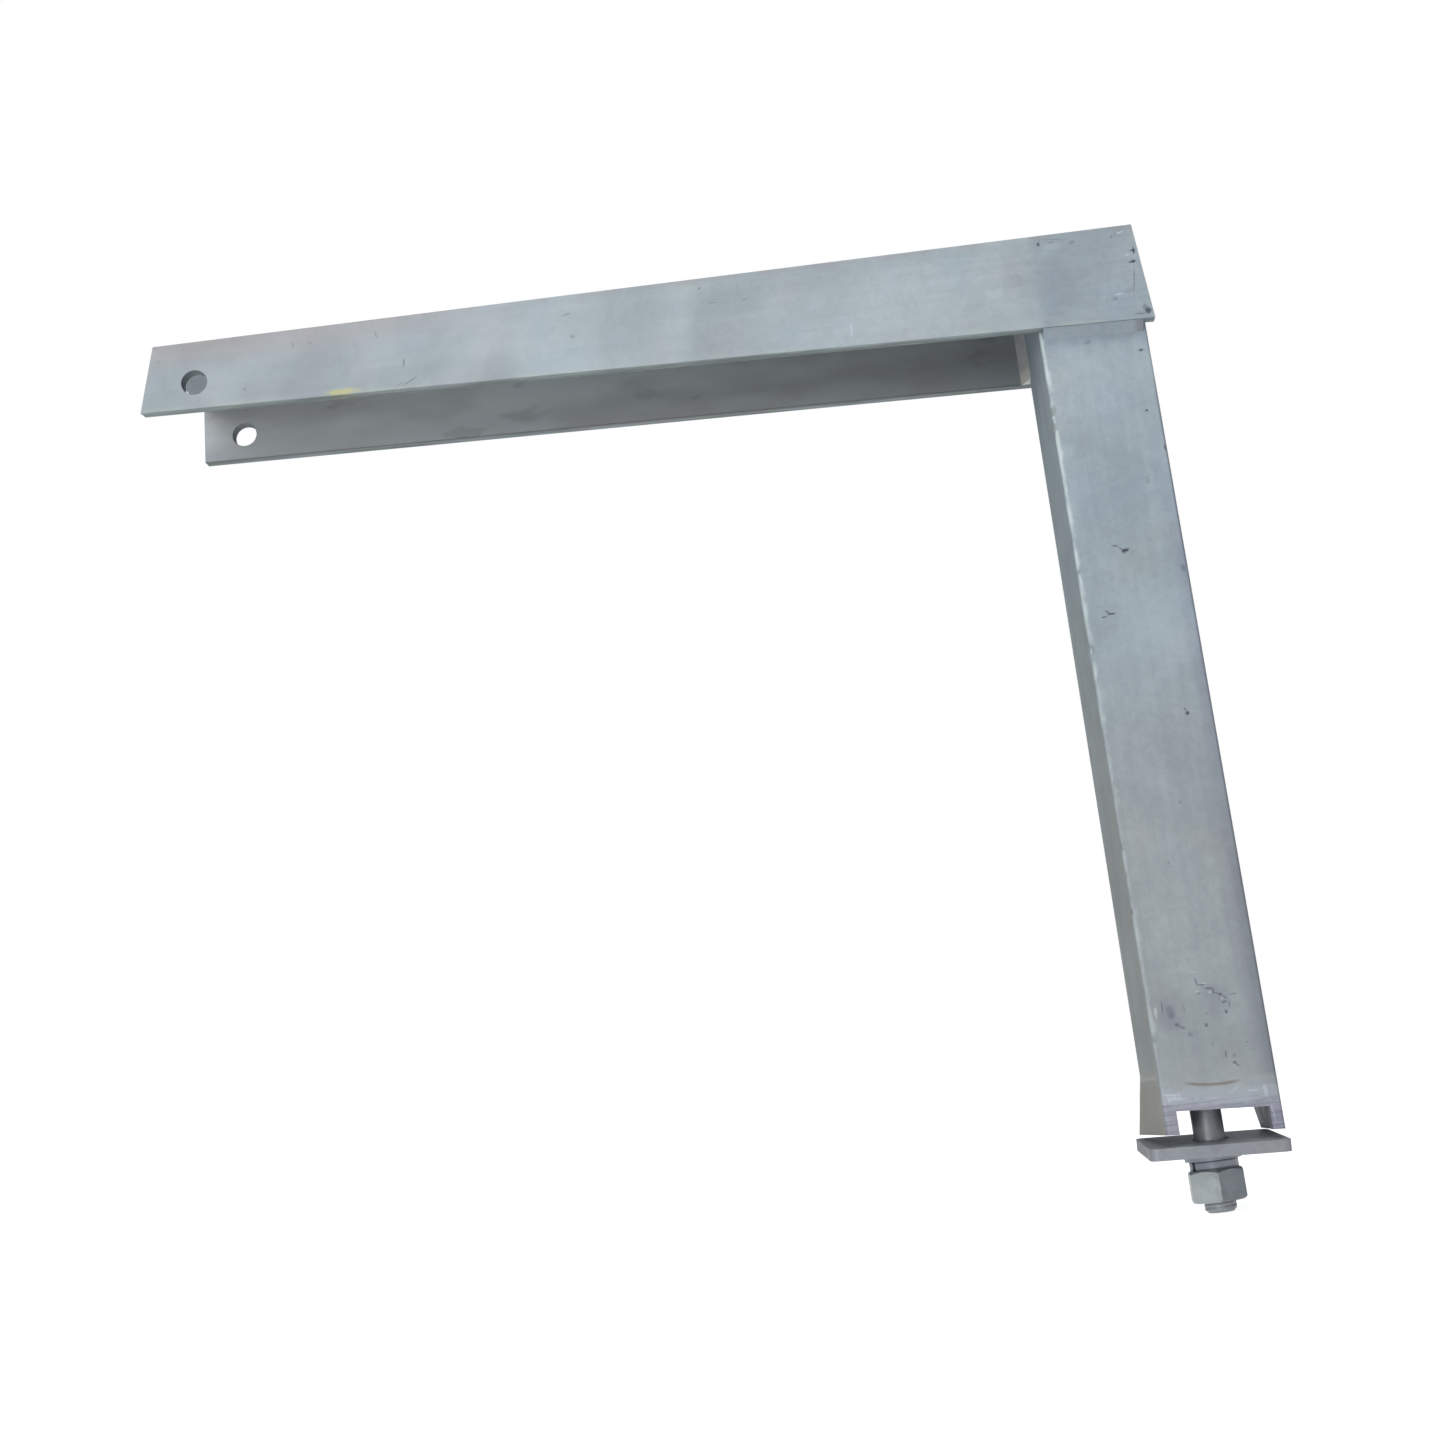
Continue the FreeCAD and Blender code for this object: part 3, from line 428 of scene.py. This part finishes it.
def right_shade(n):
    """The face darkens towards its right edge, most of all low down."""
    right = only(n, n.ramp(n.x, (0.5110, 0.5200)), n.ramp(n.z, (-0.06, -0.18)))
    tint(n, right, (0.83, 0.82, 0.88), 0.8)
    right = only(n, n.ramp(n.x, (0.5040, 0.5205)), n.ramp(n.z, (-0.28, -0.38)))
    tint(n, only(n, right, n.ramp(n.z, (-0.4440, -0.4400))), (0.70, 0.70, 0.72), 0.8)
    rim = only(n, n.ramp(n.x, (0.5190, 0.5205)), n.ramp(n.z, (-0.05, -0.09)))
    stain(n, rim, tone(96, 98, 110), 0.5)


def foot_end(n, front):
    """The web was bent and cropped at the foot: a dark arc, a lighter band and a dark lip, the lip's
    darkness painted shade where the edge turns down.
    """
    drop = n.math("MULTIPLY", n.math("SUBTRACT", n.x, FOOT_X), FOOT_DROP)
    level = n.math("ADD", n.z, drop)
    off = n.math("SUBTRACT", n.x, ARC_X)
    bowed = n.math("SUBTRACT", level, n.math("MULTIPLY", n.math("MULTIPLY", off, off), ARC_BOW))
    arc = n.line(bowed, ARC_Z, (0.0011, 0.0003))
    arc = only(n, arc, n.ramp(n.math("ABSOLUTE", off), (0.016, 0.009)), front)
    stain(n, arc, tone(116, 108, 100), 0.75)
    torn = n.math("ADD", level, n.wobble(n.noise(150.0, 3.0, 0.6), WANDER))
    band = only(n, n.ramp(torn, (-0.4440, -0.4465)), n.ramp(torn, (-0.4545, -0.4520)), front)
    stain(n, band, tone(160, 167, 178), 0.6)
    # Painted shade on the lip, where the web's cropped edge turns down.
    stain(n, only(n, n.ramp(torn, (-0.4520, -0.4545)), front), tone(128, 126, 146), 0.6)
    marks(n, front, FOOT_FROST, tone(188, 196, 206), 0.8, 300.0)
    rows = n.noise(60.0, 3.0, 0.6, n.stretched((0.3, 1.0, 16.0), (0.0, 0.0, 3.0)))
    near_lip = only(n, front, n.ramp(torn, (-0.4495, -0.4520)))
    stain(n, only(n, near_lip, n.ramp(rows, (0.50, 0.58))), tone(166, 167, 182), 0.4)
    stain(n, only(n, near_lip, n.ramp(rows, (0.46, 0.38))), tone(112, 112, 130), 0.4)


def left_foot(n, side):
    """The splayed left foot is grey-brown below a light crease."""
    stain(n, only(n, side, n.ramp(n.z, (-0.433, -0.444))), tone(152, 148, 138), 0.62)
    bent = n.math("ADD", n.z, n.wobble(n.noise(160.0), WANDER))
    crease = n.line(bent, CREASE_Z, (0.0018, 0.0003))
    stain(n, only(n, side, crease), tone(200, 197, 192), 0.4)


def weld_material(name, colour, light, seed, run):
    """A bead with ripples along run, a factor for each axis, and lighter lumps."""
    n = zinc(name, colour, rough=0.5, seed=seed)
    waves = {"Vector": n.stretched(run), "Scale": 62.0, "Distortion": 2.2, "Detail": 2.0,
             "Detail Scale": 1.5}
    ripples = n.add("ShaderNodeTexWave", waves).outputs["Fac"]
    n.height = n.math("ADD", n.math("MULTIPLY", ripples, 0.8), n.height)
    lumps = n.noise(140.0, 3.0, 0.6)
    stain(n, n.ramp(lumps, (0.42, 0.7)), light, 0.5)
    return n


def side_weld_material():
    upright = (0.0, 0.0, 1.0)
    n = weld_material("zinc_side_bead", tone(186, 187, 188), tone(202, 200, 198), 2.1, upright)
    painted_highlight_low_end = (-0.021, -0.026)
    # Painted highlight on the bead's low end.
    stain(n, n.ramp(n.z, painted_highlight_low_end), tone(216, 216, 208), 0.7)
    return close(n, 0.35, 0.5 * MM)


def front_weld_material():
    level = (1.0, 0.0, 0.0)
    n = weld_material("zinc_front_bead", tone(146, 160, 170), tone(158, 158, 168), 3.3, level)
    right_end = (0.5120, 0.5175)
    stain(n, n.ramp(n.x, right_end), tone(118, 108, 112), 0.6)
    return close(n, 0.3, 0.4 * MM)


def fastener(name, colour, seed, rough=0.46, metal=0.40):
    """Zinc with a little more shine and darker rubbed places."""
    n = zinc(name, colour, rough, metal, seed)
    rub = n.noise(95.0, 4.0, 0.65, n.moved((seed, 0.0, seed)))
    stain(n, n.ramp(rub, (0.5, 0.68)), tone(112, 112, 120), 0.32)
    return n


def spring_material():
    """Painted shade: dark lines lie where the spring washer meets the nut and the flat washer."""
    n = fastener("zinc_spring", tone(140, 146, 156), 7.4, 0.40, 0.5)
    for level in (-0.4856, -0.4812):
        stain(n, n.line(n.z, level, (0.0011, 0.0004)), tone(58, 60, 70), 0.85)
    return close(n)


def nut_material():
    """Painted shade: the nut's right half, turned from the light, is darker."""
    n = fastener("zinc_nut", tone(166, 174, 177), 6.3)
    painted_shade_right_half = (0.4863, 0.4871)
    tint(n, n.ramp(n.x, painted_shade_right_half), (0.52, 0.53, 0.56), 0.95)
    return close(n)


def plate_material():
    """Painted light: the square washer's upper side is lighter beyond the foot, where it lies open to
    the light.
    """
    n = fastener("zinc_plate", tone(134, 138, 144), 9.6)
    normal = n.add("ShaderNodeNewGeometry").outputs["Normal"]
    upward = n.add("ShaderNodeSeparateXYZ", [normal]).outputs["Z"]
    painted_light_open_end = only(n, n.ramp(upward, (0.80, 0.95)), n.ramp(n.x, (0.4950, 0.5100)))
    tint(n, painted_light_open_end, (1.55, 1.54, 1.52))
    return close(n)


for name, material in (
    ("arm_channel", arm_material()),
    ("post_channel", post_material()),
    ("side_weld", side_weld_material()),
    ("front_weld", front_weld_material()),
    ("seat_plate", close(fastener("zinc_seat", tone(140, 146, 150), 4.1))),
    ("clamp_bolt", close(fastener("zinc_bolt", tone(150, 154, 158), 5.2))),
    ("clamp_nut", nut_material()),
    ("spring_washer", spring_material()),
    ("flat_washer", close(fastener("zinc_disc", tone(138, 144, 154), 8.5, 0.38, 0.6))),
    ("square_washer", plate_material()),
):
    mesh = nodes[name].data
    mesh.materials.clear()
    mesh.materials.append(material)

# Cut and rolled edges are never knife sharp under zinc: a fine bevel takes the light. Widths in mm.
SHARP_ANGLE = math.radians(40.0)
for name, width in (
    ("clamp_nut", 0.5), ("square_washer", 0.7), ("flat_washer", 0.5), ("seat_plate", 0.5),
    ("arm_channel", 0.35), ("post_channel", 0.35),
):
    edges = nodes[name].modifiers.new("fine_edges", "BEVEL")
    edges.width = width * MM
    edges.segments = 2
    edges.limit_method = "ANGLE"
    edges.angle_limit = SHARP_ANGLE


def new_object(name, corners, faces):
    mesh = bpy.data.meshes.new(name)
    mesh.from_pydata(corners, [], faces)
    made = bpy.data.objects.new(name, mesh)
    bpy.context.scene.collection.objects.link(made)
    return made


# The bolt's thread shows below the nut, filled by zinc to a low ridge that follows the bolt's
# chamfer. The ridge's section is out from the shank and up along the bolt, in mm.
THREAD_START = Vector((0.488, -0.002, -0.5065))
THREAD_RADIUS, THREAD_PITCH, CHAMFER_HEIGHT = 7.9 * MM, 2.0 * MM, 0.8 * MM
THREAD_STEPS, THREAD_TURNS, FADE_STEPS = 48, 2.3, 12.0
RIDGE = ((0.0, -0.75), (0.30, -0.15), (0.30, 0.15), (0.0, 0.75))


def bolt_thread():
    corners, faces = [], []
    last = int(THREAD_STEPS * THREAD_TURNS)
    for i in range(last + 1):
        angle = math.tau * i / THREAD_STEPS
        fade = min(1.0, i / FADE_STEPS, (last - i) / FADE_STEPS)
        for out, up in RIDGE:
            rise = THREAD_PITCH * i / THREAD_STEPS + up * MM
            reach = THREAD_RADIUS - max(0.0, CHAMFER_HEIGHT - rise) + out * fade * MM
            around = Vector((reach * math.cos(angle), reach * math.sin(angle), rise))
            corners.append(THREAD_START + around)
    for i in range(last):
        for j in range(len(RIDGE) - 1):
            first = len(RIDGE) * i + j
            after = first + len(RIDGE)
            faces.append((first, after, after + 1, first + 1))
    thread = new_object("bolt_thread", corners, faces)
    thread.data.materials.append(nodes["clamp_bolt"].data.materials[0])
    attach(thread, "root")


# The ends of the arm's flanges, full as thick as the flange up to the slanted cut. Each row has
# the two sides across Y, and the cut's top, its toe and the corner behind them in x and z, in mm.
FLANGE_ENDS = (
    ((-36.6, -32.5), ((-22.0, 23.0), (-29.7, -14.25), (-22.0, -14.5))),
    ((32.5, 36.6), ((-22.9, 23.0), (-23.9, -14.4), (-22.9, -14.5))),
)
WEDGE_FACES = ((2, 1, 0), (3, 4, 5), (0, 1, 4, 3), (1, 2, 5, 4), (2, 0, 3, 5))


def flange_ends():
    corners, faces = [], []
    for sides, profile in FLANGE_ENDS:
        faces += [[len(corners) + i for i in face] for face in WEDGE_FACES]
        corners += [(x * MM, y * MM, z * MM) for y in sides for x, z in profile]
    ends = new_object("flange_ends", corners, faces)
    turned = bmesh.new()
    turned.from_mesh(ends.data)
    bmesh.ops.recalc_face_normals(turned, faces=turned.faces)
    turned.to_mesh(ends.data)
    turned.free()
    ends.data.materials.append(nodes["arm_channel"].data.materials[0])
    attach(ends, "root")


bolt_thread()
flange_ends()


# Stage: a pale floor just under the bolt's end, white to the camera, that keeps a soft shadow.
FLOOR_HALF, FLOOR_GAP, FLOOR_X = 6.0, 0.5 * MM, 0.24
FLOOR_COLOUR, FLOOR_ROUGH, FLOOR_GLOW = (0.86, 0.86, 0.85, 1.0), 0.9, 0.8
WHITE = (1.0, 1.0, 1.0, 1.0)


def floor_material():
    pale = bpy.data.materials.new("stage_pale")
    pale.use_nodes = True
    tree = pale.node_tree
    matt = tree.nodes["Principled BSDF"]
    matt.inputs["Base Color"].default_value = FLOOR_COLOUR
    matt.inputs["Roughness"].default_value = FLOOR_ROUGH
    matt.inputs["Specular IOR Level"].default_value = 0.0
    glow = tree.nodes.new("ShaderNodeEmission")
    glow.inputs["Color"].default_value = WHITE
    glow.inputs["Strength"].default_value = FLOOR_GLOW
    both = tree.nodes.new("ShaderNodeAddShader")
    path = tree.nodes.new("ShaderNodeLightPath")
    seen = tree.nodes.new("ShaderNodeMath")
    seen.operation = "MAXIMUM"
    mix = tree.nodes.new("ShaderNodeMixShader")
    for output, socket in (
        (path.outputs["Is Camera Ray"], seen.inputs[0]),
        (path.outputs["Is Glossy Ray"], seen.inputs[1]),
        (matt.outputs[0], both.inputs[0]),
        (glow.outputs[0], both.inputs[1]),
        (seen.outputs[0], mix.inputs[0]),
        (matt.outputs[0], mix.inputs[1]),
        (both.outputs[0], mix.inputs[2]),
        (mix.outputs[0], tree.nodes["Material Output"].inputs["Surface"]),
    ):
        tree.links.new(output, socket)
    return pale


floor_corners = [(x * FLOOR_HALF, y * FLOOR_HALF, 0.0) for x, y in ((-1, -1), (1, -1), (1, 1), (-1, 1))]
floor = new_object("stage_floor", floor_corners, [(0, 1, 2, 3)])
floor.location = (FLOOR_X, 0.0, CAD_BOX[0].z - FLOOR_GAP)
floor.data.materials.append(floor_material())

# World: white where the camera looks, a plain cool daylight for the object.
SKY_COLOUR, SKY_STRENGTH = (0.94, 0.97, 1.0, 1.0), 0.28

scene = bpy.context.scene
world = bpy.data.worlds.new("daylight")
scene.world = world
world.use_nodes = True
tree = world.node_tree
tree.nodes.clear()
sky = tree.nodes.new("ShaderNodeBackground")
sky.inputs["Color"].default_value = SKY_COLOUR
sky.inputs["Strength"].default_value = SKY_STRENGTH
white = tree.nodes.new("ShaderNodeBackground")
white.inputs["Color"].default_value = WHITE
white.inputs["Strength"].default_value = 1.0
path = tree.nodes.new("ShaderNodeLightPath")
mix = tree.nodes.new("ShaderNodeMixShader")
out = tree.nodes.new("ShaderNodeOutputWorld")
tree.links.new(path.outputs["Is Camera Ray"], mix.inputs[0])
tree.links.new(sky.outputs[0], mix.inputs[1])
tree.links.new(white.outputs[0], mix.inputs[2])
tree.links.new(mix.outputs[0], out.inputs["Surface"])


def lamp(name, place, target, size, power, colour=(1.0, 1.0, 1.0)):
    """A round soft lamp at place that looks at target. Size in metres, power in watts."""
    light = bpy.data.lights.new(name, "AREA")
    light.shape = "DISK"
    light.size = size
    light.energy = power
    light.color = colour
    holder = bpy.data.objects.new(name, light)
    holder.location = place
    aim = Vector(target) - Vector(place)
    holder.rotation_euler = aim.to_track_quat("-Z", "Y").to_euler()
    scene.collection.objects.link(holder)


MIDDLE, FLOOR_FRONT = (0.30, 0.0, -0.2), (0.3, -0.9, -0.5)
WARM_WHITE = (1.0, 0.99, 0.97)
lamp("key", (-3.0, -6.6, 3.2), MIDDLE, 5.0, 250.0, WARM_WHITE)
lamp("low", (-0.8, -3.2, -0.1), MIDDLE, 1.4, 17.0, WARM_WHITE)
lamp("top", (0.2, -2.6, 4.2), FLOOR_FRONT, 3.0, 96.0)

# Camera at the photograph's place, with the smallest shift that fits the photograph's edges.
CAMERA_PLACE = (0.33328, -0.87021, -0.43945)
CAMERA_DEGREES = (101.51, 7.335, 0.871)

camera_data = bpy.data.cameras.new("camera")
camera_data.lens = 41.124
camera_data.sensor_width = 36.0
camera_data.shift_x = -0.11
camera_data.shift_y = 0.045
camera_data.clip_start = 0.01
camera_data.clip_end = 50.0
camera = bpy.data.objects.new("camera", camera_data)
camera.location = CAMERA_PLACE
camera.rotation_euler = [math.radians(angle) for angle in CAMERA_DEGREES]
scene.collection.objects.link(camera)
scene.camera = camera
scene.view_settings.view_transform = "Standard"
